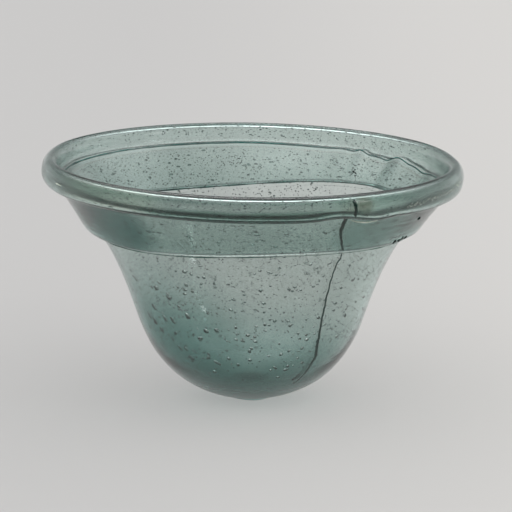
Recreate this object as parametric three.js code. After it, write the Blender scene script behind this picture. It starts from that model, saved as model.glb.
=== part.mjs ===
// A free-blown glass palm cup with a folded rim. Millimetres, +Z up, the worn foot on Z = 0.
//
// The wall was blown to a round-bottomed bell. Its top was folded outward and down, which left a hollow
// roll for a lip, a crease pressed in under the roll, and a collar lying over the outside of the wall.
// Azimuth 0 is the front (-Y) and grows towards +X. The fold wavers by hand all the way round.

import * as THREE from 'three';

// The whole cup
const cupHeight = 65.3;
const rimRadius = 56.0;

// The wall, by the radius of its outside: the foot, the belly and the throat at the collar's edge
const footRadius = 6.2;
const footAngle = THREE.MathUtils.degToRad(13);
const bellyRadius = 30.4;
const bellyHeight = 22.8;
const bellyAngle = THREE.MathUtils.degToRad(71.5);
const throatRadius = 42.6;
const throatAngle = THREE.MathUtils.degToRad(54.5);
const wallGlass = 1.3;
const baseGlass = 2.6;
const handleShare = 0.4;

// The hollow roll of the lip
const rollWidth = 4.7;
const rollRise = 3.35;
const rollGlass = 1.15;
const skinEndAngle = THREE.MathUtils.degToRad(-108);
const rimLean = 0.68;
const rimLeanShares = [[1, 0.75, -0.66]];

// The crease under the roll, measured down from the middle of the roll
const creaseDrop = 3.0;
const creaseInset = 5.6;
const creaseTuck = 0.4;
const creaseAngle = THREE.MathUtils.degToRad(49);
const creaseSag = 1.0;
const sagAzimuth = THREE.MathUtils.degToRad(110);
const sagBreadth = THREE.MathUtils.degToRad(45);

// The collar, measured down from the middle of the roll to its lower edge
const collarDrop = 13.3;
const collarGlass = 1.9;
const collarTopShare = 0.71;
const plyGap = 0.35;
const edgeWaver = 1.0;
const edgeWaverShares = [[1, 0.57, -0.79], [2, -0.06, 0.35], [3, -0.71, -0.46]];

// The scar that the pontil rod left on the base
const scarRadius = 5.9;
const scarHeight = 0.5;
const scarPitRadius = 3.2;
const scarPitDepth = 0.22;
const scarWaver = 0.25;
const scarWaverShares = [[2, 0.5, 0.3], [3, -0.4, 0.5], [5, 0.3, 0.2]];
const scarEdgeShare = 0.5;

// Facets
const roundSteps = 72;
const wallSteps = 6;
const legSteps = 3;
const rollSteps = 10;
const collarSteps = 4;
const tipSteps = 4;

const rollMiddle = cupHeight - rollRise;
const rollRadius = rimRadius - rollWidth / 2;
const creaseRadius = rimRadius - creaseInset;
const throatHeight = rollMiddle - collarDrop;

// How far a hand-made line strays at an azimuth, as a share of its waver
function stray(shares, azimuth) {
  return shares.reduce((sum, [order, cosShare, sinShare]) =>
    sum + cosShare * Math.cos(order * azimuth) + sinShare * Math.sin(order * azimuth), 0);
}

function rollHeightAt(azimuth) {
  return rollMiddle + rimLean * stray(rimLeanShares, azimuth);
}

function creaseDropAt(azimuth) {
  const fromSag = THREE.MathUtils.euclideanModulo(azimuth - sagAzimuth + Math.PI, 2 * Math.PI) - Math.PI;
  return creaseDrop + creaseSag * Math.exp(-((fromSag / sagBreadth) ** 2));
}

function creaseHeightAt(azimuth) {
  return rollHeightAt(azimuth) - creaseDropAt(azimuth);
}

function edgeHeightAt(azimuth) {
  return rollMiddle - collarDrop - edgeWaver * stray(edgeWaverShares, azimuth);
}

// The direction of a line that climbs at an angle, in radius and height
function heading(angle) {
  return new THREE.Vector2(Math.cos(angle), Math.sin(angle));
}

// A smooth stretch between two points of a section, leaving and arriving at the given angles
function stretch(start, startAngle, end, endAngle) {
  const handle = handleShare * start.distanceTo(end);
  const leave = start.clone().addScaledVector(heading(startAngle), handle);
  const arrive = end.clone().addScaledVector(heading(endAngle), -handle);
  return new THREE.CubicBezierCurve(start, leave, arrive, end);
}

// The outside of the wall from the foot to the crease, as three stretches
function wallOutside(azimuth) {
  const foot = new THREE.Vector2(footRadius, scarHeight);
  const belly = new THREE.Vector2(bellyRadius, bellyHeight);
  const throat = new THREE.Vector2(throatRadius, throatHeight);
  const crease = new THREE.Vector2(creaseRadius, creaseHeightAt(azimuth));
  return [
    stretch(foot, footAngle, belly, bellyAngle),
    stretch(belly, bellyAngle, throat, throatAngle),
    stretch(throat, throatAngle, crease, creaseAngle),
  ];
}

// A point of the wall's outside moved square to it: inward for a positive distance
function offset(curve, share, distance) {
  const along = curve.getTangent(share);
  return curve.getPoint(share).add(new THREE.Vector2(-along.y, along.x).multiplyScalar(distance));
}

// The point moved off the wall at the crease, kept at the crease's height so that the plies meet level
function levelOffset(azimuth, distance) {
  return new THREE.Vector2(creaseRadius - distance / Math.sin(creaseAngle), creaseHeightAt(azimuth));
}

// The share of a rising stretch at which it reaches a height
function shareAtHeight(curve, height) {
  let low = 0;
  let high = 1;
  while (high - low > Number.EPSILON * 16) {
    const middle = (low + high) / 2;
    if (curve.getPoint(middle).y < height) low = middle;
    else high = middle;
  }
  return (low + high) / 2;
}

// The section of the bowl at an azimuth: the foot, up the outside, level across, and down the inside
function bowlSection(azimuth) {
  const stretches = wallOutside(azimuth);
  const outside = [];
  const inside = [];
  stretches.forEach((curve, index) => {
    for (let step = 0; step < wallSteps; step += 1) {
      const share = step / wallSteps;
      const thin = index === 0 ? THREE.MathUtils.smoothstep(share, 0, 1) : 1;
      outside.push(curve.getPoint(share));
      inside.unshift(offset(curve, share, THREE.MathUtils.lerp(baseGlass, wallGlass, thin)));
    }
  });
  const floor = inside[inside.length - 1];
  const centre = floor.y - floor.x * Math.tan(footAngle) / 2;
  return [
    new THREE.Vector2(0, scarHeight),
    ...outside,
    levelOffset(azimuth, 0),
    levelOffset(azimuth, wallGlass),
    ...inside,
    new THREE.Vector2(0, centre),
  ];
}

// An oval round the middle of the roll, from its inner side over the top to below its outer side
function oval(azimuth, inset, endAngle) {
  const height = rollHeightAt(azimuth);
  const width = rollWidth / 2 - inset;
  const rise = rollRise - inset;
  const fall = creaseDropAt(azimuth) + creaseTuck - inset;
  const points = [];
  for (let step = 0; step <= rollSteps; step += 1) {
    const angle = THREE.MathUtils.lerp(Math.PI, endAngle, step / rollSteps);
    const tall = Math.sin(angle) > 0 ? rise : fall;
    points.push(new THREE.Vector2(rollRadius + width * Math.cos(angle), height + tall * Math.sin(angle)));
  }
  return points;
}

// The points of a stretch without its two ends
function between(curve) {
  return curve.getPoints(legSteps).slice(1, -1);
}

// The section of the roll: a strip of glass that climbs from the wall, turns over and comes down
// outside it, with a narrow mouth left between its two legs under the hollow
function rollSection(azimuth) {
  const skinStart = levelOffset(azimuth, wallGlass);
  const skinEnd = levelOffset(azimuth, -plyGap - collarGlass * collarTopShare);
  const skin = oval(azimuth, 0, skinEndAngle);
  const hollowStart = levelOffset(azimuth, 0);
  const hollowEnd = levelOffset(azimuth, -plyGap);
  const hollow = oval(azimuth, rollGlass, -Math.PI / 2);
  const hollowSide = [
    hollowStart,
    ...between(stretch(hollowStart, creaseAngle, hollow[0], Math.PI / 2)),
    ...hollow,
    ...between(stretch(hollow[rollSteps], Math.PI, hollowEnd, Math.PI + creaseAngle)),
    hollowEnd,
  ];
  const skinSide = [
    skinStart,
    ...between(stretch(skinStart, creaseAngle, skin[0], Math.PI / 2)),
    ...skin,
    skinEnd,
  ];
  return [...hollowSide, ...skinSide.reverse()];
}

// The section of the collar: it follows the wall down from the crease, thickens and ends in a round lip
function collarSection(azimuth) {
  const tipRadius = collarGlass / 2;
  const tipDrop = (plyGap + tipRadius) * Math.cos(throatAngle);
  const tipHeight = edgeHeightAt(azimuth) + tipRadius + tipDrop;
  const [, lower, upper] = wallOutside(azimuth);
  const outside = [levelOffset(azimuth, -plyGap - collarGlass * collarTopShare)];
  const inside = [levelOffset(azimuth, -plyGap)];
  for (let step = 1; step <= collarSteps; step += 1) {
    const height = THREE.MathUtils.lerp(creaseHeightAt(azimuth), tipHeight, step / collarSteps);
    const glass = THREE.MathUtils.lerp(collarGlass * collarTopShare, collarGlass, step / collarSteps);
    const curve = height < throatHeight ? lower : upper;
    const share = shareAtHeight(curve, height);
    outside.unshift(offset(curve, share, -plyGap - glass));
    inside.push(offset(curve, share, -plyGap));
  }
  const tip = outside[0].clone().lerp(inside[collarSteps], 1 / 2);
  const facing = outside[0].clone().sub(tip).angle();
  const lip = [];
  for (let step = 1; step < tipSteps; step += 1) {
    const angle = facing - Math.PI * (1 - step / tipSteps);
    lip.push(tip.clone().addScaledVector(heading(angle), tipRadius));
  }
  return [...outside, ...inside, ...lip];
}

// The section of the scar: a shallow pit in the middle, a ring worn flat, and a rough rounded edge
function scarSection(azimuth) {
  const reach = scarRadius + scarWaver * stray(scarWaverShares, azimuth);
  return [
    new THREE.Vector2(0, scarPitDepth),
    new THREE.Vector2(scarPitRadius / 2, scarPitDepth),
    new THREE.Vector2(scarPitRadius, 0),
    new THREE.Vector2(reach - scarHeight * scarEdgeShare, 0),
    new THREE.Vector2(reach, scarHeight * scarEdgeShare),
    new THREE.Vector2(reach, scarHeight),
    new THREE.Vector2(0, scarHeight),
  ];
}

// The rows of vertices that a section leaves as it turns round the axis. A point on the axis is one
// vertex, which every row shares.
function turnSection(sectionAt) {
  const positions = [];
  const poles = new Map();
  const rows = [];
  for (let step = 0; step < roundSteps; step += 1) {
    const azimuth = (step / roundSteps) * 2 * Math.PI;
    rows.push(sectionAt(azimuth).map((point, index) => {
      if (poles.has(index)) return poles.get(index);
      const corner = { radius: point.x, vertex: positions.length / 3 };
      positions.push(point.x * Math.sin(azimuth), -point.x * Math.cos(azimuth), point.y);
      if (point.x === 0) poles.set(index, corner);
      return corner;
    }));
  }
  return { positions, rows };
}

// A closed body from a section that runs anticlockwise, with the radius to the right and the height up.
// Each quad is split from its outer corner on the first row to its inner corner on the next, so that
// two bodies that meet in a ring split it alike.
function sweepRound(sectionAt) {
  const { positions, rows } = turnSection(sectionAt);
  const faces = [];
  rows.forEach((row, step) => {
    const nextRow = rows[(step + 1) % roundSteps];
    row.forEach((lower, index) => {
      const after = (index + 1) % row.length;
      const [upper, nextLower, nextUpper] = [row[after], nextRow[index], nextRow[after]];
      if (lower.radius > upper.radius) faces.push([lower, nextLower, nextUpper], [lower, nextUpper, upper]);
      else faces.push([lower, nextLower, upper], [nextLower, nextUpper, upper]);
    });
  });
  const whole = faces.map((face) => face.map(({ vertex }) => vertex))
    .filter(([first, second, third]) => first !== second && second !== third && third !== first);
  const geometry = new THREE.BufferGeometry();
  geometry.setAttribute('position', new THREE.Float32BufferAttribute(positions, 3));
  geometry.setIndex(whole.flat());
  geometry.computeVertexNormals();
  return geometry;
}

// Blown glass, clear and blue-green, of one tint for each piece
function glass(color, roughness) {
  return new THREE.MeshStandardMaterial({ color, roughness, metalness: 0, transparent: true, opacity: 0.45 });
}

function piece(name, sectionAt, material) {
  const mesh = new THREE.Mesh(sweepRound(sectionAt), material);
  mesh.name = name;
  return mesh;
}

const cup = new THREE.Group();
cup.add(piece('bowl', bowlSection, glass(0x93a8a0, 0.08)));
cup.add(piece('rim_roll', rollSection, glass(0x8fb0a6, 0.06)));
cup.add(piece('collar', collarSection, glass(0x66857e, 0.08)));
cup.add(piece('pontil_scar', scarSection, glass(0x56706a, 0.35)));

export default cup;
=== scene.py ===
"""How the palm cup looks: blue-green blown glass full of seed bubbles, cracked from the lip to the base.

Metres throughout. Azimuth 0 is the front (-Y) and grows towards +X. The section of the cup repeats the
sizes of the frame's solids, with finer steps, and the fold wavers as theirs does.
"""
import math

import bmesh
import bpy
import numpy as np
from mathutils import Matrix, Vector


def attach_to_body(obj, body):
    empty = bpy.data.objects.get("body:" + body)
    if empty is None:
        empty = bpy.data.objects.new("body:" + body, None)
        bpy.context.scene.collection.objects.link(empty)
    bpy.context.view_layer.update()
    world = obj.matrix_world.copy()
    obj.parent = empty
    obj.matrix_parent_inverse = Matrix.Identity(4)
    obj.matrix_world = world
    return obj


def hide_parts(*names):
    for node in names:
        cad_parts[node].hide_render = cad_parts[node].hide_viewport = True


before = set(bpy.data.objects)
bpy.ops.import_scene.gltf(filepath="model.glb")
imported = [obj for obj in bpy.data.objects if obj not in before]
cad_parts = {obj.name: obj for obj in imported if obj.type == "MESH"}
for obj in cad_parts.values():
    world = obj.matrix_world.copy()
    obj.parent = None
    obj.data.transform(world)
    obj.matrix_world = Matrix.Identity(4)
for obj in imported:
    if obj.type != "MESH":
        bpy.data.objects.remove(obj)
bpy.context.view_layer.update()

TURN = 2 * math.pi

# The cup, as in the frame. The folds of the crease and the seams are only here.
CUP_HEIGHT = 0.0653
RIM_RADIUS = 0.0560
FOOT_RADIUS = 0.0062
FOOT_ANGLE = math.radians(13)
BELLY_RADIUS = 0.0304
BELLY_HEIGHT = 0.0228
BELLY_ANGLE = math.radians(71.5)
THROAT_RADIUS = 0.0426
THROAT_ANGLE = math.radians(54.5)
WALL_GLASS = 0.0013
BASE_GLASS = 0.0026
HANDLE_SHARE = 0.4
ROLL_WIDTH = 0.0047
ROLL_RISE = 0.00335
ROLL_GLASS = 0.00115
SKIN_END_ANGLE = math.radians(-108)
RIM_LEAN = 0.00068
RIM_LEAN_SHARES = ((1, 0.75, -0.66),)
CREASE_DROP = 0.0030
CREASE_INSET = 0.0056
CREASE_TUCK = 0.0004
CREASE_ANGLE = math.radians(49)
CREASE_SAG = 0.0010
SAG_AZIMUTH = math.radians(110)
SAG_BREADTH = math.radians(45)
# Each fold's middle and breadth in degrees, and how far down it reaches
CREASE_FOLDS = (
    (180, 16, -0.0003), (155, 12, -0.0002), (149, 4.5, -0.0005), (142.8, 2, -0.0010),
    (137.5, 3, -0.0001), (131.5, 2.2, 0.0005), (126.5, 4, -0.0013), (118, 4, -0.0003),
    (112, 5, 0.0007), (24, 6, -0.0007), (36, 5, 0.0005), (55, 14, 0.0004),
)
COLLAR_DROP = 0.0133
COLLAR_GLASS = 0.0019
COLLAR_TOP_SHARE = 0.71
PLY_GAP = 0.00035
EDGE_WAVER = 0.0010
EDGE_WAVER_SHARES = ((1, 0.57, -0.79), (2, -0.06, 0.35), (3, -0.71, -0.46))
SCAR_HEIGHT = 0.0005
SEAM = 0.00002
FOOT_HEIGHT = SCAR_HEIGHT + SEAM
COLLAR_TOP_OUT = PLY_GAP + COLLAR_GLASS * COLLAR_TOP_SHARE

ROLL_MIDDLE = CUP_HEIGHT - ROLL_RISE
ROLL_RADIUS = RIM_RADIUS - ROLL_WIDTH / 2
CREASE_RADIUS = RIM_RADIUS - CREASE_INSET
THROAT_HEIGHT = ROLL_MIDDLE - COLLAR_DROP

# How finely the glass is drawn
ROUND_STEPS = 360
WALL_STEPS = 22
LEG_STEPS = 8
ROLL_STEPS = 36
FLOOR_STEPS = 8
COLLAR_STEPS = 18
TIP_STEPS = 10
AZIMUTHS = np.arange(ROUND_STEPS) * TURN / ROUND_STEPS
HALVINGS = 40

# The skin's unevenness, as the length, depth and seed of its waves. The foot stays true.
BROAD_SAGS = (0.040, 0.00010, 1)
FINE_RIPPLES = (0.012, 0.00002, 2)
WAVES = 24
WAVE_LENGTH_SHARES = (0.7, 1.6)
TRUE_FOOT_HEIGHT = 0.002
TRUE_FOOT_FADE = 0.004


def stray(shares, azimuth):
    """How far a hand-made line strays at an azimuth, as a share of its waver."""
    return sum(c * np.cos(order * azimuth) + s * np.sin(order * azimuth) for order, c, s in shares)


def roll_height(azimuth):
    return ROLL_MIDDLE + RIM_LEAN * stray(RIM_LEAN_SHARES, azimuth)


def hump(azimuth, middle, breadth):
    """A smooth hump in azimuth, which is 1 in its middle."""
    away = (azimuth - middle + math.pi) % TURN - math.pi
    return np.exp(-((away / breadth) ** 2))


def crease_drop(azimuth):
    """How far the crease hangs below the roll's middle. It sags on the right, and is ragged there."""
    drop = CREASE_DROP + CREASE_SAG * hump(azimuth, SAG_AZIMUTH, SAG_BREADTH)
    for middle, breadth, depth in CREASE_FOLDS:
        drop = drop + depth * hump(azimuth, math.radians(middle), math.radians(breadth))
    return drop


def crease_height(azimuth):
    return roll_height(azimuth) - crease_drop(azimuth)


def edge_height(azimuth):
    return ROLL_MIDDLE - COLLAR_DROP - EDGE_WAVER * stray(EDGE_WAVER_SHARES, azimuth)


def heading(angle):
    return np.array([math.cos(angle), math.sin(angle)])


def points_of(radius, height, azimuth):
    """One section point per azimuth, as rows of radius and height."""
    return np.stack(np.broadcast_arrays(radius, height, azimuth)[:2], -1)


def round_axis(radius, height, azimuth):
    """Places in space, from a radius and a height at each azimuth."""
    return np.stack([radius * np.sin(azimuth), -radius * np.cos(azimuth), height], -1)


class Stretch:
    """A stretch of a section, one cubic for each azimuth, which leaves and arrives at given angles."""

    def __init__(self, start, start_angle, end, end_angle):
        handle = HANDLE_SHARE * np.linalg.norm(end - start, axis=-1, keepdims=True)
        self.knots = (start, start + handle * heading(start_angle), end - handle * heading(end_angle), end)

    def at(self, share):
        """The point at a share, which may differ from azimuth to azimuth."""
        a, b, c, d = self.knots
        t = np.asarray(share)[..., None]
        return (1 - t) ** 3 * a + 3 * (1 - t) ** 2 * t * b + 3 * (1 - t) * t ** 2 * c + t ** 3 * d

    def along(self, share):
        a, b, c, d = self.knots
        t = np.asarray(share)[..., None]
        slope = (1 - t) ** 2 * (b - a) + 2 * (1 - t) * t * (c - b) + t ** 2 * (d - c)
        return slope / np.linalg.norm(slope, axis=-1, keepdims=True)

    def inward(self, share, distance):
        """The point moved square to the stretch, towards the inside of the cup."""
        along = self.along(share)
        across = np.stack([-along[..., 1], along[..., 0]], -1)
        return self.at(share) + np.asarray(distance)[..., None] * across

    def share_at(self, height):
        """The share at which a rising stretch reaches a height."""
        low = np.zeros_like(height)
        high = np.ones_like(height)
        for _ in range(HALVINGS):
            middle = (low + high) / 2
            below = self.at(middle)[..., 1] < height
            low = np.where(below, middle, low)
            high = np.where(below, high, middle)
        return (low + high) / 2


def wall_outside(azimuth):
    knots = (
        (points_of(FOOT_RADIUS, FOOT_HEIGHT, azimuth), FOOT_ANGLE),
        (points_of(BELLY_RADIUS, BELLY_HEIGHT, azimuth), BELLY_ANGLE),
        (points_of(THROAT_RADIUS, THROAT_HEIGHT, azimuth), THROAT_ANGLE),
        (points_of(CREASE_RADIUS, crease_height(azimuth), azimuth), CREASE_ANGLE),
    )
    return [Stretch(*start, *end) for start, end in zip(knots, knots[1:])]


def level_offset(azimuth, distance, drop=0.0):
    """The crease on the wall's outside, moved off it level, so that the plies meet at one height."""
    radius = CREASE_RADIUS - distance / math.sin(CREASE_ANGLE)
    return points_of(radius, crease_height(azimuth) - drop, azimuth)


def wall_glass(stretch, share):
    """The wall's thickness on a stretch of its outside. It thins smoothly over the first stretch."""
    start = WALL_GLASS if stretch else BASE_GLASS
    return start + (WALL_GLASS - start) * (share * share * (3 - 2 * share))


def bowl_section(azimuth):
    outside, inside = [], []
    for index, curve in enumerate(wall_outside(azimuth)):
        for step in range(WALL_STEPS):
            share = step / WALL_STEPS
            outside.append(curve.at(share))
            inside.append(curve.inward(share, wall_glass(index, share)))
    floor_radius, floor_height = inside[0][:, 0], inside[0][:, 1]
    floor_points = []
    for step in range(1, FLOOR_STEPS):
        share = step / FLOOR_STEPS
        radius = floor_radius * (1 - share)
        sag = floor_radius * math.tan(FOOT_ANGLE) / 2 * (1 - (1 - share) ** 2)
        floor_points.append(np.stack([radius, floor_height - sag], -1))
    centre = floor_height - floor_radius * math.tan(FOOT_ANGLE) / 2
    outer_side = [
        points_of(0.0, FOOT_HEIGHT, azimuth),
        points_of(FOOT_RADIUS / 2, FOOT_HEIGHT, azimuth),
        *outside,
        level_offset(azimuth, 0, SEAM),
    ]
    inner_side = [
        level_offset(azimuth, WALL_GLASS, SEAM),
        *reversed(inside),
        *floor_points,
        points_of(0.0, centre, azimuth),
    ]
    return outer_side + inner_side, {len(outer_side) - 1}


def oval(azimuth, inset, end_angle):
    """An oval round the roll's middle, from its inner side over the top to below its outer side."""
    height = roll_height(azimuth)
    width = ROLL_WIDTH / 2 - inset
    fall = crease_drop(azimuth) + CREASE_TUCK - inset
    points = []
    for step in range(ROLL_STEPS + 1):
        angle = math.pi + (end_angle - math.pi) * step / ROLL_STEPS
        tall = ROLL_RISE - inset if math.sin(angle) > 0 else fall
        radius = ROLL_RADIUS + width * math.cos(angle)
        points.append(points_of(radius, height + tall * math.sin(angle), azimuth))
    return points


def between(curve):
    return [curve.at(step / LEG_STEPS) for step in range(1, LEG_STEPS)]


def roll_section(azimuth):
    skin_start = level_offset(azimuth, WALL_GLASS)
    skin_end = level_offset(azimuth, -COLLAR_TOP_OUT)
    skin = oval(azimuth, 0, SKIN_END_ANGLE)
    hollow_start = level_offset(azimuth, 0)
    hollow_end = level_offset(azimuth, -PLY_GAP)
    hollow = oval(azimuth, ROLL_GLASS, -math.pi / 2)
    hollow_side = [
        hollow_start,
        *between(Stretch(hollow_start, CREASE_ANGLE, hollow[0], math.pi / 2)),
        *hollow,
        *between(Stretch(hollow[-1], math.pi, hollow_end, math.pi + CREASE_ANGLE)),
        hollow_end,
    ]
    skin_side = [
        skin_start,
        *between(Stretch(skin_start, CREASE_ANGLE, skin[0], math.pi / 2)),
        *skin,
        skin_end,
    ]
    section = hollow_side + skin_side[::-1]
    return section, {len(hollow_side) - 1, len(section) - 1}


def wall_offset_at(azimuth, height, distance):
    """A point off the wall's outside, given the height of the wall's own point."""
    _, lower, upper = wall_outside(azimuth)
    below = (height < THROAT_HEIGHT)[..., None]
    return np.where(
        below,
        lower.inward(lower.share_at(height), distance),
        upper.inward(upper.share_at(height), distance),
    )


def collar_section(azimuth):
    tip_radius = COLLAR_GLASS / 2
    tip_height = edge_height(azimuth) + tip_radius + (PLY_GAP + tip_radius) * math.cos(THROAT_ANGLE)
    top_height = crease_height(azimuth)
    outside = [level_offset(azimuth, -COLLAR_TOP_OUT, SEAM)]
    inside = [level_offset(azimuth, -PLY_GAP, SEAM)]
    for step in range(1, COLLAR_STEPS + 1):
        share = step / COLLAR_STEPS
        height = top_height + (tip_height - top_height) * share
        glass = COLLAR_GLASS * (COLLAR_TOP_SHARE + (1 - COLLAR_TOP_SHARE) * share)
        outside.insert(0, wall_offset_at(azimuth, height, -PLY_GAP - glass))
        inside.append(wall_offset_at(azimuth, height, -PLY_GAP))
    tip = (outside[0] + inside[-1]) / 2
    reach = outside[0] - tip
    facing = np.arctan2(reach[:, 1], reach[:, 0])
    lip = []
    for step in range(1, TIP_STEPS):
        angle = facing - math.pi * (1 - step / TIP_STEPS)
        lip.append(tip + tip_radius * np.stack([np.cos(angle), np.sin(angle)], -1))
    return [*outside, *inside, *lip], {len(outside) - 1}


def ripple(points, length, depth, seed):
    """Waves of about one length in all directions, added up to a depth."""
    draw = np.random.default_rng(seed)
    directions = draw.normal(size=(WAVES, 3))
    directions /= np.linalg.norm(directions, axis=1, keepdims=True)
    numbers = TURN / (length * draw.uniform(*WAVE_LENGTH_SHARES, WAVES))
    phases = draw.uniform(0, TURN, WAVES)
    total = np.sin((points @ directions.T) * numbers + phases).sum(axis=1)
    return depth * total / math.sqrt(WAVES / 2)


def unevenness(points):
    """How far blown glass strays from true round at a point."""
    return ripple(points, *BROAD_SAGS) + ripple(points, *FINE_RIPPLES)


def turned(section):
    """The section's rows of points set round the axis, moved in and out by the glass's unevenness."""
    rows = np.stack(section, 1)
    radius, height = rows[..., 0], rows[..., 1]
    azimuth = AZIMUTHS[:, None]
    stray_out = unevenness(round_axis(radius, height, azimuth).reshape(-1, 3)).reshape(radius.shape)
    share = np.clip((height - TRUE_FOOT_HEIGHT) / TRUE_FOOT_FADE, 0, 1)
    return round_axis(radius + stray_out * np.where(radius > 0, share, 0), height, azimuth), radius


def sweep(name, make_section, material):
    """A closed body from a section that runs anticlockwise, with the radius to the right.

    Some of its faces are fused: the glass runs on through them into the next piece."""
    section, fused = make_section(AZIMUTHS)
    places, radius = turned(section)
    count, size = radius.shape
    index = np.arange(count * size).reshape(count, size)
    on_axis = radius[0] == 0
    index[:, on_axis] = index[0, on_axis]
    used, index = np.unique(index, return_inverse=True)
    index = index.reshape(count, size).tolist()
    faces, marks = [], []
    last = size - 1 if on_axis[0] else size
    for row in range(count):
        here, there = index[row], index[(row + 1) % count]
        for low in range(last):
            high = (low + 1) % size
            faces.append(list(dict.fromkeys((here[low], there[low], there[high], here[high]))))
            marks.append(float(low in fused))
    thing = new_piece(name, places.reshape(-1, 3)[used].tolist(), faces, material)
    thing.data.attributes.new("fused", "FLOAT", "FACE").data.foreach_set("value", marks)
    return thing


SHARP_ANGLE = math.radians(40)


def keep_edges(thing):
    """Keeps the edges sharp where faces meet at more than an angle."""
    bpy.context.view_layer.objects.active = thing
    thing.select_set(True)
    bpy.ops.object.shade_smooth_by_angle(angle=SHARP_ANGLE)
    thing.select_set(False)


def new_piece(name, points, faces, material):
    mesh = bpy.data.meshes.new(name)
    mesh.from_pydata(points, [], faces)
    mesh.validate()
    mesh.shade_smooth()
    mesh.materials.append(material)
    thing = bpy.data.objects.new(name, mesh)
    bpy.context.collection.objects.link(thing)
    return thing


def copies(name, all_points, faces, material):
    """One piece that repeats the same faces, each time with points of its own."""
    each = len(all_points[0])
    all_faces = []
    for number in range(len(all_points)):
        all_faces.extend(tuple(corner + number * each for corner in face) for face in faces)
    return new_piece(name, np.concatenate(all_points).tolist(), all_faces, material)


def tube(name, sides, material, closed=False):
    """A tube through lines of points, one to each side. It is closed to a ring, or capped at its ends."""
    count = len(sides[0])
    faces = []
    for side in range(len(sides)):
        here, there = side * count, (side + 1) % len(sides) * count
        for step in range(count if closed else count - 1):
            after = (step + 1) % count
            faces.append((here + step, here + after, there + after, there + step))
    if not closed:
        faces.append(tuple(side * count for side in range(len(sides))))
        faces.append(tuple(side * count + count - 1 for side in reversed(range(len(sides)))))
    thing = new_piece(name, np.concatenate(sides).tolist(), faces, material)
    mesh = bmesh.new()
    mesh.from_mesh(thing.data)
    bmesh.ops.recalc_face_normals(mesh, faces=mesh.faces)
    mesh.to_mesh(thing.data)
    mesh.free()
    return thing


def attach(thing):
    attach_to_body(thing, "root")


# Materials

class Tree:
    """The nodes of a material or of the world."""

    def __init__(self, owner):
        owner.use_nodes = True
        self.nodes = owner.node_tree.nodes
        self.links = owner.node_tree.links
        self.nodes.clear()

    def add(self, kind, inputs=None, **settings):
        """A shader node with its settings. An input is a constant, an output, or a node for its first one."""
        node = self.nodes.new("ShaderNode" + kind)
        for name, value in settings.items():
            setattr(node, name, value)
        for name, value in (inputs or {}).items():
            if isinstance(value, bpy.types.Node):
                value = value.outputs[0]
            if isinstance(value, bpy.types.NodeSocket):
                self.links.new(value, node.inputs[name])
            else:
                node.inputs[name].default_value = value
        return node

    def place(self):
        return self.add("TexCoord").outputs["Object"]

    def parts(self, vector):
        return self.add("SeparateXYZ", {"Vector": vector}).outputs

    def noise(self, place, scale, detail):
        return self.add("TexNoise", {"Scale": scale, "Detail": detail, "Vector": place})

    def ranged(self, value, low, high, out_low, out_high):
        """A value's range laid smoothly onto another."""
        inputs = {"From Min": low, "From Max": high, "To Min": out_low, "To Max": out_high, "Value": value}
        return self.add("MapRange", inputs, interpolation_type="SMOOTHSTEP")

    def calculated(self, operation, first, second):
        return self.add("Math", {0: first, 1: second}, operation=operation)

    def mixed(self, share, first, second):
        """Two colours mixed."""
        first, second = ((*colour, 1) if isinstance(colour, tuple) else colour for colour in (first, second))
        inputs = {"Factor": share, "A": first, "B": second}
        return self.add("Mix", inputs, data_type="RGBA").outputs["Result"]

    def joined(self, share, first, second):
        """Two shaders mixed."""
        return self.add("MixShader", {"Fac": share, 1: first, 2: second})

    def rays(self):
        """One for the camera's own rays, and one for the rays that gloss and glass send on."""
        path = self.add("LightPath").outputs
        sent_on = self.calculated("MAXIMUM", path["Is Glossy Ray"], path["Is Transmission Ray"])
        return path["Is Camera Ray"], sent_on


GLASS_INDEX = 1.50
ABSORBED = (0.32, 0.60, 0.56)
ABSORBED_DENSITY = 220
DULL_SHARE = 0.96
SPECK_SHARE = 0.80
PIT_DEPTH = 0.000004

# The scale and detail of each noise in the glass, and the values between which its effects set in
CORDS = (90, 5)
GRAIN = (2200, 3)
DULLING = (160, 6)
ROUGH_FROM_TO = (0.35, 0.7)
DULL_FROM_TO = (0.38, 0.62)
SPECK_FROM_TO = (0.52, 0.68)
RAGGED_FROM_TO = (0.38, 0.6)
RAGGED_SHARES = (0.25, 1)
SMALL_BLOT = 0.005
BLOT_CORE_SHARE = 0.45

# The heights between which painted shade and wear fade out low on the bowl, and where painted shade lies low
# in the roll
LOWER_SHADE_TILT = 0.55
LOWER_SHADE_HEIGHTS = (0.001, 0.0255)
WEAR_HEIGHTS = (0.002, 0.014)
WEAR_ROUGHNESS = 0.35
ROLL_SHADE_HEIGHTS = (ROLL_MIDDLE - 0.0008, ROLL_MIDDLE + 0.0003)
ROLL_SHADE_PLACES = (-0.0500, -0.0455)
ROLL_SHADE_FROM_TO = (0.3, 0.5)
ROLL_SHADE_SHARES = (0.6, 1)
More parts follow.
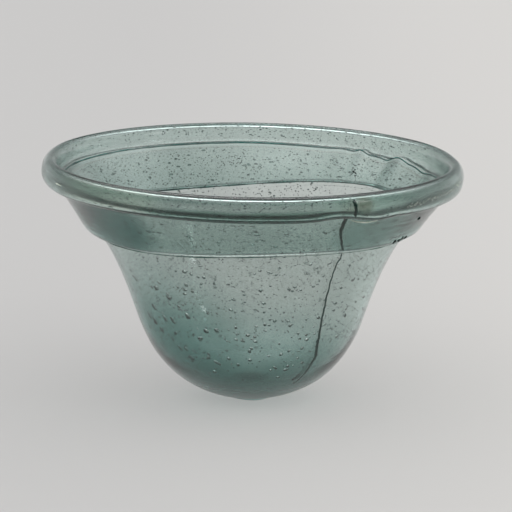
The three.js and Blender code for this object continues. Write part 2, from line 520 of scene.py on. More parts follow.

# The middle, reach and colour of each stain, and of each patch of painted light and shade
WALL_STAINS_AND_PAINTED_LIGHT = (
    # These two are painted light: the film is lifted on the right and left sides, so that they read lighter
    ((0.034, 0, 0.033), 0.021, (1, 1, 0.985)),
    ((-0.041, 0, 0.036), 0.009, (1, 1, 0.985)),
    # This one darkens the front right
    ((0.023, -0.025, 0.037), 0.012, (0.78, 0.79, 0.775)),
)
COLLAR_STAINS_AND_PAINTED_SHADING = (
    # Painted light: the far side's film is lifted, so that it reads lighter
    ((0, 0.045, 0.055), 0.075, (1, 1, 0.99)),
    # Painted shade: a dark blue-green blot on the front left
    ((-0.037, -0.034, 0.052), 0.017, (0.25, 0.41, 0.39)),
    # This one darkens the front right
    ((0.031, -0.039, 0.052), 0.014, (0.57, 0.65, 0.63)),
)
ROLL_STAINS_AND_PAINTED_LIGHT = (
    # Painted light: the far side's film is lifted, so that it reads lighter
    ((0, 0.045, 0.061), 0.075, (1, 1, 0.99)),
    # These three darken the front, the left one with a warmer tint
    ((-0.006, -0.053, 0.061), 0.026, (0.87, 0.87, 0.86)),
    ((-0.04, -0.039, 0.061), 0.024, (0.95, 0.95, 0.9)),
    ((0.031, -0.047, 0.061), 0.016, (0.88, 0.92, 0.89)),
    # Two small brown stains
    ((0.0241, -0.05, 0.0626), 0.003, (0.5, 0.46, 0.38)),
    ((0.0284, -0.0478, 0.0626), 0.0036, (0.6, 0.58, 0.5)),
)

# Each glass's film, roughness, cord depth and squash, density, and stains with patches of painted light and
# shade
WALL_LOOK = ((0.88, 0.88, 0.865), (0.005, 0.035), 0.00006, 1.5, 1, WALL_STAINS_AND_PAINTED_LIGHT)
ROLL_LOOK = ((0.94, 0.95, 0.93), (0.10, 0.22), 0.00005, 5, 1.2, ROLL_STAINS_AND_PAINTED_LIGHT)
COLLAR_LOOK = ((0.93, 0.93, 0.915), (0.04, 0.11), 0.00008, 5, 1.45, COLLAR_STAINS_AND_PAINTED_SHADING)
# Colour of the painted shade low on the bowl, most of all on the left
LOWER_SHADE = (0.28, 0.45, 0.425)
# Colour of the painted shade low in the front of the roll
ROLL_SHADE = (0.41, 0.54, 0.49)


def blot(tree, place, middle, reach, ragged):
    """A soft spot round a place in the glass, with a ragged edge where it is small."""
    distance = tree.add("VectorMath", {0: place, 1: middle}, operation="DISTANCE").outputs["Value"]
    near = tree.ranged(distance, BLOT_CORE_SHARE * reach, reach, 1, 0)
    if reach > SMALL_BLOT:
        return near
    return tree.calculated("MULTIPLY", near, tree.ranged(ragged, *RAGGED_FROM_TO, *RAGGED_SHARES))


def lower_left_shade(tree, place):
    """Painted shade on the bowl's skin: darker over its lower part, most of all on the left."""
    parts = tree.parts(place)
    leftward = tree.calculated("MINIMUM", parts["X"], 0.0)
    level = tree.calculated("ADD", parts["Z"], tree.calculated("MULTIPLY", leftward, LOWER_SHADE_TILT))
    return tree.ranged(level, *LOWER_SHADE_HEIGHTS, 1, 0)


def underside_wear(tree, place):
    """How much rougher the underside has worn."""
    return tree.ranged(tree.parts(place)["Z"], *WEAR_HEIGHTS, WEAR_ROUGHNESS, 0)


def roll_underside_shade(tree, place, ragged):
    """Where painted shade lies low in the front of the roll, behind the fold."""
    parts = tree.parts(place)
    low = tree.ranged(parts["Z"], *ROLL_SHADE_HEIGHTS, 1, 0)
    in_front = tree.ranged(parts["Y"], *ROLL_SHADE_PLACES, 1, 0)
    share = tree.calculated("MULTIPLY", low, in_front)
    return tree.calculated("MULTIPLY", share, tree.ranged(ragged, *ROLL_SHADE_FROM_TO, *ROLL_SHADE_SHARES))


def glass_material(name, film, roughness, cord_depth, cord_squash, density, stains_and_painted_shading, wear_and_lower_shade=None, painted_roll_shade=None):
    """Blown glass, coloured by its depth and the film on its skin, with cords drawn round the cup."""
    material = bpy.data.materials.new(name)
    tree = Tree(material)
    place = tree.place()
    squashed = tree.add("Mapping", {"Vector": place, "Scale": (1, 1, cord_squash)})
    cords = tree.noise(squashed, *CORDS)
    grain = tree.noise(place, *GRAIN)
    dulled = tree.noise(place, *DULLING)

    relief = tree.calculated("MULTIPLY", cords, cord_depth)
    height = tree.calculated("ADD", relief, tree.calculated("MULTIPLY", grain, PIT_DEPTH))
    bump = tree.add("Bump", {"Strength": 1, "Distance": 1, "Height": height})
    skin = tree.ranged(dulled, *ROUGH_FROM_TO, *roughness)

    dull_film = tuple(part * DULL_SHARE for part in film)
    colour = tree.mixed(tree.ranged(dulled, *DULL_FROM_TO, 0, 1), dull_film, film)
    speck_film = tuple(part * SPECK_SHARE for part in film)
    colour = tree.mixed(tree.ranged(grain, *SPECK_FROM_TO, 0, 1), colour, speck_film)
    # Stains, and patches of painted light and shade, laid over the film
    for middle, reach, patch_colour in stains_and_painted_shading:
        colour = tree.mixed(blot(tree, place, middle, reach, dulled), colour, patch_colour)
    # The underside wears rougher, and painted shade darkens it low down and on the left
    if wear_and_lower_shade:
        skin = tree.calculated("ADD", skin, underside_wear(tree, place))
        colour = tree.mixed(lower_left_shade(tree, place), colour, wear_and_lower_shade)
    # Painted shade darkens the front of the roll low down
    if painted_roll_shade:
        colour = tree.mixed(roll_underside_shade(tree, place, dulled), colour, painted_roll_shade)

    shader = tree.add("BsdfPrincipled", {
        "Base Color": colour,
        "Roughness": skin,
        "IOR": GLASS_INDEX,
        "Transmission Weight": 1.0,
        "Normal": bump,
    })
    fused = tree.add("Attribute", attribute_name="fused").outputs["Fac"]
    clear = tree.add("BsdfTransparent")
    absorbed = {"Color": (*ABSORBED, 1), "Density": ABSORBED_DENSITY * density}
    depth = tree.add("VolumeAbsorption", absorbed)
    tree.add("OutputMaterial", {"Surface": tree.joined(fused, shader, clear), "Volume": depth})
    return material


PATCHY_FROM_TO = (0.35, 0.65)
SKIN_PATCHES = (400, 2)
MATT_PATCHES = (500, 4)
MATT_ROUGHNESS = 0.8
DULL_GLOSS = 0.1


def patchy_material(name, patches, dark, light, finish):
    """A material whose colour wanders in patches between dark and light."""
    material = bpy.data.materials.new(name)
    tree = Tree(material)
    share = tree.ranged(tree.noise(tree.place(), *patches), *PATCHY_FROM_TO, 0, 1)
    shader = tree.add("BsdfPrincipled", {"Base Color": tree.mixed(share, dark, light), **finish})
    tree.add("OutputMaterial", {"Surface": shader})
    return material


def shaded_skin_material(name, dark, light, index=GLASS_INDEX):
    """A clear skin tinted darker in patches: on a bubble it paints the shade of its rim, and with an index of
    1 it is a thin sheet of painted shade.
    """
    return patchy_material(name, SKIN_PATCHES, dark, light, {
        "Transmission Weight": 1.0,
        "IOR": index,
        "Roughness": 0.0,
    })


def matt_material(name, dark, light):
    """Matt dirt, and matt paint for painted highlights and painted shade."""
    return patchy_material(name, MATT_PATCHES, dark, light, {
        "Roughness": MATT_ROUGHNESS,
        "Specular IOR Level": DULL_GLOSS,
    })


# Seed bubbles strewn in the glass

# Sizes are the smallest and largest half width, how rare large ones are, and how far one is drawn out
BOWL_BUBBLES = {"count": 620, "seed": 11, "sizes": (0.00019, 0.00042, 2.2, 1.7), "crowding_share": 0.75}
BOWL_SEEDS = {"count": 4500, "seed": 14, "sizes": (0.00011, 0.00017, 2.2, 1.7), "crowding_share": 0.4}
ROLL_SEEDS = {"count": 2600, "seed": 12, "sizes": (0.00008, 0.00018, 2.6, 2.4)}
COLLAR_BUBBLES = {"count": 1100, "seed": 13, "sizes": (0.00010, 0.00034, 2.4, 2.6)}
FLATNESS_SHARE = 0.9

WALL_LOWEST = 0.003
WALL_REACH = 0.055
WALL_DEPTH_SHARES = (0.35, 0.65)
BUBBLE_LEAN = 0.7

# Only the bubbles shrink towards the neck, and not the fine seeds
FINE_SEED = 0.0003
SHRINKING_HEIGHTS = (0.030, 0.048)
SHRUNK_SHARE = 0.25

# Low on the left they are drawn out longer, and lean one way
DRAWN_AZIMUTH = math.radians(-50)
DRAWN_BREADTH = math.radians(40)
DRAWN_TOP = 0.040
DRAWN_FADE = 0.02
DRAWN_STRETCH_SHARE = 0.9
DRAWN_FROM_SHARE = 0.2
DRAWN_LEAN = -0.9
DRAWN_LEAN_SPREAD = 0.25

ROLL_ANGLES = (math.radians(-80), math.radians(190))
ROLL_DEPTH_SHARES = (0.3, 0.7)
COLLAR_TOP_CLEARANCE = 0.0006
COLLAR_DEPTH_SHARES = (0.3, 0.65)
COLLAR_BUBBLED_SHARE = 0.75


def ball(rings, around):
    """A unit ball's vertices and faces, whose faces look inward."""
    points = [(0, 0, 1)]
    for ring in range(1, rings):
        polar = math.pi * ring / rings
        wide, high = math.sin(polar), math.cos(polar)
        for step in range(around):
            turn = TURN * step / around
            points.append((wide * math.cos(turn), wide * math.sin(turn), high))
    points.append((0, 0, -1))
    faces = []
    for step in range(around):
        after = (step + 1) % around
        faces.append((0, 1 + after, 1 + step))
        for ring in range(rings - 2):
            top = 1 + ring * around
            low = top + around
            faces.append((top + step, top + after, low + after, low + step))
        last = 1 + (rings - 2) * around
        faces.append((last + step, last + after, len(points) - 1))
    return np.array(points), faces


def bubbles(name, places, frames, radii, material, rings, around):
    """Bubbles as one piece. Each ball is stretched along its own frame by its three radii."""
    unit, faces = ball(rings, around)
    all_points = [place + (unit * radius) @ axes for place, axes, radius in zip(places, frames, radii)]
    return copies(name, all_points, faces, material)


def set_round(point, along, azimuth):
    """Section points set at azimuths, and a frame at each: round the cup, along the section, and out."""
    around = np.stack([np.cos(azimuth), np.sin(azimuth), np.zeros_like(azimuth)], -1)
    up = round_axis(along[:, 0], along[:, 1], azimuth)
    return round_axis(point[:, 0], point[:, 1], azimuth), np.stack([around, up, np.cross(around, up)], 1)


def turned_frames(frames, angle):
    """Frames turned in the plane of the wall."""
    cosine, sine = np.cos(angle)[:, None], np.sin(angle)[:, None]
    result = frames.copy()
    result[:, 0] = cosine * frames[:, 0] + sine * frames[:, 1]
    result[:, 1] = -sine * frames[:, 0] + cosine * frames[:, 1]
    return result


def seed_radii(count, draw, smallest, largest, rarity, stretch):
    """Many small seeds and a few large ones, as half lengths along their frames."""
    size = np.minimum(smallest * (1 + draw.pareto(rarity, count)), largest)
    length = draw.uniform(1, stretch, count)
    return np.stack([size * length, size, size * FLATNESS_SHARE], -1)


def wall_bubbles(name, material, count, seed, sizes, crowding_share, rings, around):
    """Bubbles strewn through the wall. The smaller the share, the more of them are high up."""
    draw = np.random.default_rng(seed)
    azimuth = draw.uniform(0, TURN, count)
    height = WALL_LOWEST + WALL_REACH * draw.uniform(0, 1, count) ** crowding_share
    depth_share = draw.uniform(*WALL_DEPTH_SHARES, count)
    places = np.zeros((count, 3))
    frames = np.zeros((count, 3, 3))
    levels = (SCAR_HEIGHT, BELLY_HEIGHT, THROAT_HEIGHT, ROLL_MIDDLE)
    for index, curve in enumerate(wall_outside(azimuth)):
        here = (height >= levels[index]) & (height < levels[index + 1])
        share = curve.share_at(height)
        depth = depth_share * wall_glass(index, share)
        place, frame_here = set_round(curve.inward(share, depth), curve.along(share), azimuth)
        places[here] = place[here]
        frames[here] = frame_here[here]
    radii = seed_radii(count, draw, *sizes)
    smallest, largest = sizes[:2]
    if largest > FINE_SEED:
        radii *= np.interp(height, SHRINKING_HEIGHTS, (1.0, smallest / largest + SHRUNK_SHARE))[:, None]
    drawn = hump(azimuth, DRAWN_AZIMUTH, DRAWN_BREADTH) * np.clip((DRAWN_TOP - height) / DRAWN_FADE, 0, 1)
    radii[:, 0] *= 1 + DRAWN_STRETCH_SHARE * drawn
    drawn_lean = draw.normal(DRAWN_LEAN, DRAWN_LEAN_SPREAD, count)
    lean = np.where(drawn > DRAWN_FROM_SHARE, drawn_lean, draw.uniform(-BUBBLE_LEAN, BUBBLE_LEAN, count))
    return bubbles(name, places, turned_frames(frames, lean), radii, material, rings, around)


def roll_bubbles(material, count, seed, sizes):
    draw = np.random.default_rng(seed)
    azimuth = draw.uniform(0, TURN, count)
    angle = draw.uniform(*ROLL_ANGLES, count)
    inset = draw.uniform(*ROLL_DEPTH_SHARES, count) * ROLL_GLASS
    width = ROLL_WIDTH / 2 - inset
    tall = np.where(np.sin(angle) > 0, ROLL_RISE - inset, crease_drop(azimuth) + CREASE_TUCK - inset)
    point = np.stack([ROLL_RADIUS + width * np.cos(angle), roll_height(azimuth) + tall * np.sin(angle)], -1)
    along = np.stack([-width * np.sin(angle), tall * np.cos(angle)], -1)
    along /= np.linalg.norm(along, axis=1, keepdims=True)
    places, frames = set_round(point, along, azimuth)
    radii = seed_radii(count, draw, *sizes)
    return bubbles("rim_roll_bubbles", places, frames, radii, material, rings=4, around=6)


def collar_bubbles(material, count, seed, sizes):
    draw = np.random.default_rng(seed)
    azimuth = draw.uniform(0, TURN, count)
    low = edge_height(azimuth) + COLLAR_GLASS
    height = low + (crease_height(azimuth) - COLLAR_TOP_CLEARANCE - low) * draw.uniform(0, 1, count)
    depth = draw.uniform(*COLLAR_DEPTH_SHARES, count) * COLLAR_GLASS * COLLAR_BUBBLED_SHARE
    point = wall_offset_at(azimuth, height, -PLY_GAP - depth)
    along = np.broadcast_to(heading(THROAT_ANGLE), point.shape)
    places, frames = set_round(point, along, azimuth)
    radii = seed_radii(count, draw, *sizes)
    return bubbles("collar_bubbles", places, frames, radii, material, rings=4, around=6)


# The camera, and what it sees of the cup

PHOTO_SIZE = 512
CAMERA_REACH = 0.7981
CAMERA_RISE = math.radians(11.39)
CAMERA_FOCUS_PIXELS = 3000
CAMERA_ROLL = math.radians(0.59)
SENSOR = 36.0
RIM_IN_PHOTO = (252.2, 169.9)


def build_camera():
    """The camera stands as the photograph's did, so that the rim's middle falls on its pixel there."""
    data = bpy.data.cameras.new("camera")
    data.sensor_width = SENSOR
    data.lens = SENSOR * CAMERA_FOCUS_PIXELS / PHOTO_SIZE
    camera = bpy.data.objects.new("camera", data)
    rim = Vector((0, 0, ROLL_MIDDLE))
    place = rim + CAMERA_REACH * Vector((0, -math.cos(CAMERA_RISE), math.sin(CAMERA_RISE)))
    facing = (rim - place).to_track_quat("-Z", "Y").to_matrix()
    aside = math.atan2(RIM_IN_PHOTO[0] - PHOTO_SIZE / 2, CAMERA_FOCUS_PIXELS)
    above = math.atan2(PHOTO_SIZE / 2 - RIM_IN_PHOTO[1], CAMERA_FOCUS_PIXELS)
    turned_aside = Matrix.Rotation(aside, 3, "Y")
    turned_down = Matrix.Rotation(-above, 3, "X")
    rolled = Matrix.Rotation(CAMERA_ROLL, 3, "Z")
    camera.matrix_world = Matrix.Translation(place) @ (facing @ rolled @ turned_down @ turned_aside).to_4x4()
    bpy.context.collection.objects.link(camera)
    bpy.context.scene.camera = camera


def seen(thing, pixel):
    """Where the sight through a pixel of the photograph meets a piece, and how it faces there."""
    camera = bpy.context.scene.camera
    aim = Vector((pixel[0] - PHOTO_SIZE / 2, PHOTO_SIZE / 2 - pixel[1], -CAMERA_FOCUS_PIXELS))
    towards = (camera.matrix_world.to_3x3() @ aim).normalized()
    found, place, normal, _ = thing.ray_cast(camera.matrix_world.translation, towards)
    if not found:
        raise ValueError(f"{thing.name} is not seen at pixel {pixel}")
    return np.array(place), np.array(normal)


def seen_along(thing, pixels):
    """The places and facings of a piece's skin under a path of pixels."""
    hits = [seen(thing, pixel) for pixel in pixels]
    return np.array([place for place, _ in hits]), np.array([normal for _, normal in hits])


def refined(path, steps, wander, seed):
    """A path of pixels with more points, which wanders a little to each side of it."""
    draw = np.random.default_rng(seed)
    path = np.array(path)
    points = []
    for here, there in zip(path, path[1:]):
        points.extend(here + (there - here) * (step / steps) for step in range(steps))
    points = np.array([*points, path[-1]])
    points[1:-1] += draw.normal(0, wander, (len(points) - 2, 2))
    return points


def spread_out(values, count, at_shares=None):
    """Values laid evenly, or at given shares, over a count of points, with straight lines between."""
    if at_shares is None:
        at_shares = np.linspace(0, 1, len(values))
    return np.interp(np.linspace(0, 1, count), at_shares, values)[:, None]


# The bubbles that stand out in the photograph: pixel, length and width in pixels, and lean from the level
BIG_BUBBLES = (
    (167.9, 298.5, 5.6, 3.2, -50), (153.5, 307.3, 6, 4, -55), (171.9, 320.8, 7, 3.2, -60),
    (164.4, 318.9, 7, 3, -60), (186.9, 316.6, 7, 4, -55), (175, 333.5, 5, 3, 40),
    (155, 323, 4, 3, -30), (161.3, 330.5, 6, 2.5, -60), (162.3, 346, 6, 2.6, -55),
    (185.6, 349.5, 5, 3, -50), (216, 331.4, 5, 3.6, -45), (205.6, 332, 5.6, 4.2, -20),
    (208.1, 358.3, 4, 3, -45), (216.9, 363.5, 8, 2.8, -35), (214.4, 372.6, 4, 3, -40),
    (203.5, 278.6, 3.5, 2.6, -40), (185.6, 285.8, 4, 3, -50), (191.9, 292.3, 3.2, 3, 0),
    (177.3, 288, 3, 2, -50), (183.8, 272.6, 4.4, 3.8, 0), (155.6, 288.5, 4.6, 4.2, 0),
    (134.4, 278.3, 6, 2.4, -60), (148.8, 315, 6, 2.6, -60), (228.1, 285.4, 3, 2, 0),
    (235.6, 328.9, 3, 2.8, 0), (236, 340.5, 3.6, 2.6, -30), (200, 338.9, 5, 3, 0),
    (207.5, 314.3, 3, 2.2, 0), (178.1, 307.3, 3.6, 2.6, -40), (182.1, 305.8, 2.6, 2.6, 0),
    (213.8, 284.8, 2.6, 2.2, 0), (199.6, 267.3, 3, 2.2, 0), (226.5, 351.5, 3, 2.2, -20),
    (260.4, 291.4, 3.6, 3.2, 0), (260, 271.8, 3.2, 2.2, 0), (254.6, 275, 2.4, 2.2, 0),
    (244, 295.8, 3, 2.2, 0), (244.8, 302.9, 2.6, 2.2, 0), (270.6, 287, 2.4, 2.2, 0),
    (285.6, 297.6, 2.6, 2, 20), (301.3, 291, 2.6, 2.2, 0), (270, 309.1, 2.4, 2.2, 0),
    (290.6, 326.4, 3.8, 2.8, 40), (289, 322, 2.8, 2.2, 0), (269.4, 326, 3, 2.4, -20),
    (256.5, 327.6, 3, 2.2, 0), (265.9, 331.6, 3, 2.2, 0), (255.4, 342.6, 4.6, 2.6, -10),
    (254.8, 338, 3.6, 2.8, 0), (251.3, 349.5, 4, 2.6, -20), (302.5, 349.1, 3.8, 2.6, 50),
    (289.4, 352, 3.2, 2.4, 30), (279.6, 344.9, 2.4, 2.2, 0), (269, 357, 3.2, 2.2, -20),
    (250, 361.1, 4, 3, 0), (302.5, 363.5, 3.2, 2.4, 0), (285.4, 370.8, 3.8, 2.8, 0),
    (334.4, 310.8, 2.8, 2.2, 0), (345.6, 315.8, 4.2, 2.6, -50), (341.9, 288.5, 3, 2.2, 0),
    (330, 264.3, 4.2, 2, 30), (353.8, 280.1, 4.2, 3, 50), (313.8, 287.4, 3.2, 2.2, 0),
    (337.5, 337, 4, 2.4, 30), (306.9, 320.5, 2.2, 2, 0), (317.5, 268.9, 2.6, 2.2, 0),
)
PIXEL_IN_GLASS = 0.00025
DEEPEST_SHARE = 0.36


def big_bubbles(material, bowl):
    """Each bubble lies half-way through the wall under its pixel, flattened to stay inside the glass."""
    places, frames, radii, leans = [], [], [], []
    for x, y, length, width, lean in BIG_BUBBLES:
        place, normal = seen(bowl, (x, y))
        around = np.cross((0, 0, 1), normal)
        around /= np.linalg.norm(around)
        places.append(place - normal * WALL_GLASS / 2)
        frames.append((around, np.cross(normal, around), normal))
        half = PIXEL_IN_GLASS / 2 * np.array([length, width, width]) * (2 - abs(normal[1]))
        radii.append(np.minimum(half, (1, 1, DEEPEST_SHARE * WALL_GLASS)))
        leans.append(math.radians(lean))
    frames = turned_frames(np.array(frames), np.array(leans))
    return bubbles("bowl_big_bubbles", places, frames, radii, material, rings=10, around=14)


# The crack

# Each part's path in pixels of the photograph, slants aside, depth, thickness and shares of it on the way
ROLL_CRACK = (
    ((354.2, 199.6), (355.4, 201.5), (356.6, 205), (357.4, 210.6), (356.8, 215), (355.5, 217.5)),
    (-0.0002, -0.0003), 0.0009, 0.00036, (1, 1),
)
COLLAR_CRACK = (
    ((348.6, 218.5), (345.5, 223), (343, 229), (341.7, 235), (342, 241), (343.6, 249), (343, 251.5)),
    (-0.0005, -0.0005, -0.0002, -0.0001), 0.0013, 0.00022, (1, 1),
)
BOWL_CRACK = (
    (
        (342.2, 254), (340.5, 259), (337.5, 263), (333.7, 272.6), (330.6, 282), (326.4, 298), (324, 310),
        (322, 320), (319, 335), (318, 342), (316.5, 350), (315, 357), (311, 365), (306, 372), (300, 379),
        (293, 384),
    ),
    (0.0003, 0.0005, 0.0007), 0.0012, 0.00048, (0.6, 0.7, 0.9, 1.1, 1.5, 1.7, 1.4, 0.5),
)
CRACK_STEPS = 4
CRACK_WANDER = 0.22
SKIN_OVER_CRACK = 0.00006
CRACK_TAPER_SHARES = (0.3, 1, 1, 0.25)
CRACK_TAPER_AT_SHARES = (0, 0.04, 0.93, 1)


def cleft(name, thing, material, seed, path, slants, depth, thickness, width_shares):
    """The dirty face of a crack: a thin sheet from the outer skin slanting down through the glass."""
    places, normals = seen_along(thing, refined(path, CRACK_STEPS, CRACK_WANDER, seed))
    along = np.gradient(places, axis=0)
    along /= np.linalg.norm(along, axis=1, keepdims=True)
    aside = np.cross(normals, along)
    count = len(places)
    taper = spread_out(CRACK_TAPER_SHARES, count, CRACK_TAPER_AT_SHARES)
    half = thickness / 2 * taper * spread_out(width_shares, count)
    outer = places - SKIN_OVER_CRACK * normals
    inner = places - depth * normals + spread_out(slants, count) * taper * aside
    sides = (outer + half * aside, outer - half * aside, inner - half * aside, inner + half * aside)
    return tube(name, sides, material)


# Threads: rings of painted shade, and pale strands that paint highlights
THREAD_SIDES = 6
UPWARD = np.array([0, 0, 1.0])
STRAND_STEPS = 3
STRAND_WANDER = 0.05
STRAND_TAPER_SHARES = (0.4, 1, 1, 0.3)
STRAND_TAPER_AT_SHARES = (0, 0.3, 0.7, 1)
# Paths of pale strands that paint highlights: a line along the crease, and a glint on the roll's left end
CREASE_PAINTED_HIGHLIGHT = ((350.5, 220), (355, 221.2), (360, 222), (366, 222.2), (372, 221.4), (378, 220.4))
ROLL_GLINT = ((55.5, 183), (58.2, 184.4), (61.2, 186))
STRAND_THICKNESS = 0.0004

# Each thinning has the azimuth and breadth where a ring is thinner, and the share that it has lost there
THIN_ON_LEFT = (math.radians(-50), math.radians(32), 0.8)
THIN_BEHIND = (math.pi, math.radians(85), 0.92)
THIN_IN_FRONT = (0, math.radians(80), 0.93)
UNTHINNED = (0, 1, 0)

# Each ring of painted shade: its thickness, thinnest share of it, seed and thinning
CREASE_SHADE_RING = (0.0008, 0.6, 41, THIN_ON_LEFT)
FAR_CREASE_SHADE_RING = (0.00045, 0.5, 45, THIN_IN_FRONT)
FOLD_SHADE_RING = (0.0007, 0.6, 43, UNTHINNED)
EDGE_SHADE_RING = (0.00034, 0.4, 44, THIN_BEHIND)
GAP_SHADE_RING = (0.0006, 0.5, 42, UNTHINNED)
SHADE_RING_ORDERS = range(2, 40)
SHADE_RING_MIDDLE_SHARE = 0.5
SHADE_RING_SWING_SHARE = 0.7
FAR_SHADE_DEPTH_SHARE = 0.12
FAR_SHADE_RISE = 0.0011
FOLD_SHADE_RISE = 0.0006
EDGE_SHADE_RISE = 0.0001
GAP_SHADE_RISE = 0.0006


def thread_sides(middles, outward, size):
    """The lines of points along the sides of a thread."""
    turns = [TURN * side / THREAD_SIDES for side in range(THREAD_SIDES)]
    return [middles + size * (math.cos(turn) * outward + math.sin(turn) * UPWARD) for turn in turns]


def strand(name, path, thing, material, seed):
    """A thread on the skin under a path of pixels, half sunk in it and tapering to its ends."""
    places, normals = seen_along(thing, refined(path, STRAND_STEPS, STRAND_WANDER, seed))
    size = STRAND_THICKNESS / 2 * spread_out(STRAND_TAPER_SHARES, len(places), STRAND_TAPER_AT_SHARES)
    return tube(name, thread_sides(places, normals, size), material)


def shade_ring(name, places, material, thickness, thinnest_share, seed, thinning):
    """A thread of painted shade all round the cup, through section points, uneven and thinned round one
    azimuth.
    """
    draw = np.random.default_rng(seed)
    uneven = sum(np.cos(order * AZIMUTHS + draw.uniform(0, TURN)) / order ** 0.5 for order in SHADE_RING_ORDERS)
    uneven = SHADE_RING_MIDDLE_SHARE + SHADE_RING_SWING_SHARE * uneven / np.abs(uneven).max()
    uneven = np.clip(uneven, thinnest_share, 1)
    thin_azimuth, breadth, thin_share = thinning
    uneven *= 1 - thin_share * hump(AZIMUTHS, thin_azimuth, breadth)
    size = (thickness / 2 * uneven)[:, None]
    outward = round_axis(np.ones(ROUND_STEPS), np.zeros(ROUND_STEPS), AZIMUTHS)
    middles = round_axis(places[:, 0], places[:, 1], AZIMUTHS)
    return tube(name, thread_sides(middles, outward, size), material, closed=True)


# Crumbs on the skin, and pale specks that paint a highlight on the roll. Their places are in pixels of the
# photograph.
EDGE_STROKES = ((393, 243.2, 4), (398.2, 240.6, 2), (400.8, 239.8, 4), (404.6, 238, 3), (418.2, 219.2, 3))
STROKE_STEP = (0.8, -0.9)
CRUMB_SIZE = 0.00024
# The path of pale specks that paint a highlight along the lower edge of the roll's right end
ROLL_PAINTED_HIGHLIGHT_BAND = (
    (408, 206.6), (415, 205), (421, 202.8), (428, 200.3), (434, 198.4), (440, 196), (446, 193),
    (451, 190.2), (456, 186.8), (460, 182.5),
)
ROLL_PAINTED_HIGHLIGHT_STEPS = 9
ROLL_PAINTED_HIGHLIGHT_WANDER = 0.9
ROLL_PAINTED_HIGHLIGHT_SIZES = (0.00006, 0.00015)
WALL_STAR = ((353.5, 171.5), (352, 170), (355, 169.6), (352.3, 173.2), (355.2, 173))
STAR_SIZES = (0.0004, 0.0002, 0.0002, 0.00018, 0.0002)
ROUGH_SHARE = 0.22
SQUASH_SHARES = (0.7, 1.4)
SUNK_SHARE = 0.2


def lumps(name, pixels, sizes, thing, material, seed):
    """Rough lumps that stand on the glass at pixels of the photograph, a little sunk in it."""
    draw = np.random.default_rng(seed)
    unit, faces = ball(rings=5, around=7)
    all_points = []
    for pixel, size in zip(pixels, sizes):
        place, normal = seen(thing, pixel)
        rough = unit * (1 + draw.normal(0, ROUGH_SHARE, (len(unit), 1)))
        squash = size * draw.uniform(*SQUASH_SHARES, 3)
        all_points.append(place + rough * squash - normal * size * SUNK_SHARE)
    return copies(name, all_points, [face[::-1] for face in faces], material)


def strokes():
    """The pixels and sizes of crumbs in short slanting rows."""
    pixels = []
    for x, y, crumbs in EDGE_STROKES:
        pixels.extend((x + STROKE_STEP[0] * step, y + STROKE_STEP[1] * step) for step in range(crumbs))
    return pixels, [CRUMB_SIZE] * len(pixels)


# The stage: a pale floor, plain light for it, and a studio that only glass and its highlights see
FLOOR_REACH = 6.0
FLOOR_ROUGHNESS = 0.9
FLOOR_PAINTED_LIGHT_PLACES = (-0.07, 0.13)
FLOOR_GLOW_SHARE = 0.5
FLOOR_GLOW_IN_GLASS_SHARE = 0.95
PAPER = (0.61, 0.605, 0.60)
PAPER_PAINTED_LIGHT_RIGHT = (0.695, 0.685, 0.67)
PLAIN_LIGHT = (1.0, 0.995, 0.99)
PLAIN_LIGHT_STRENGTH = 0.95
STUDIO_STRENGTH = 2.0
BACKWARD_FROM_TO = (-0.5, 0.5)
BEHIND_STOPS = ((0.0, 0.305), (0.15, 0.2), (0.4, 0.11), (0.65, 0.3), (0.9, 0.8))
BEFORE_STOPS = ((0.0, 0.10), (0.5, 0.07), (0.78, 0.25), (0.95, 0.8))
SIDEWAYS_FROM_TO = (-0.7, 0.6)
LEFT_SHARE = 1.35
RIGHT_SHARE = 0.5

# Each soft window's direction, half breadth and strength
SKYLIGHT = ((-0.05, 0.66, 0.75), math.radians(28), 3.5)
SIDE_WINDOW = ((0.78, 0.50, 0.36), math.radians(50), 3)
LAMP_PLACE = (0.80, -0.40, 0.52)
LAMP_AIM = (0, 0, 0.04)
LAMP_SIZE = (0.06, 0.28)
LAMP_POWER = 0.35
LIGHT_BOUNCES = 48


def build_floor():
    """A paper floor that runs out of sight, painted lighter towards the right as if lit from there. It glows
    a little to the camera, and more to glass.
    """
    material = bpy.data.materials.new("pale_floor")
    tree = Tree(material)
    # Painted light: the paper is lighter towards the right, as if lit from that side
    across = tree.ranged(tree.parts(tree.place())["X"], *FLOOR_PAINTED_LIGHT_PLACES, 0, 1)
    colour = tree.mixed(across, PAPER, PAPER_PAINTED_LIGHT_RIGHT)
    paper = tree.add("BsdfPrincipled", {
        "Base Color": colour,
        "Roughness": FLOOR_ROUGHNESS,
        "Specular IOR Level": DULL_GLOSS,
    })
    glow = tree.add("Emission", {"Color": colour})
    from_camera, sent_on = tree.rays()
    bare = tree.calculated("MULTIPLY", from_camera, FLOOR_GLOW_SHARE)
    share = tree.calculated("ADD", bare, tree.calculated("MULTIPLY", sent_on, FLOOR_GLOW_IN_GLASS_SHARE))
    tree.add("OutputMaterial", {"Surface": tree.joined(share, paper, glow)})
    corners = [(x * FLOOR_REACH, y * FLOOR_REACH, 0) for x, y in ((-1, -1), (1, -1), (1, 1), (-1, 1))]
    new_piece("floor", corners, [(0, 1, 2, 3)], material)


def ramp(tree, value, stops):
    """A smooth ramp of greys over a value."""
    node = tree.add("ValToRGB", {"Fac": value})
    node.color_ramp.interpolation = "EASE"
    elements = node.color_ramp.elements
    while len(elements) < len(stops):
        elements.new(0.5)
    for element, (place, grey) in zip(elements, stops):
        element.position = place
        element.color = (grey, grey, grey, 1)
    return node


def window(tree, direction, towards, breadth, strength):
    """How bright a soft round window is in each direction."""
    facing = Vector(towards).normalized()
    across = tree.add("VectorMath", {0: direction, 1: facing}, operation="DOT_PRODUCT")
    return tree.ranged(across.outputs["Value"], math.cos(breadth), 1, 0, strength)


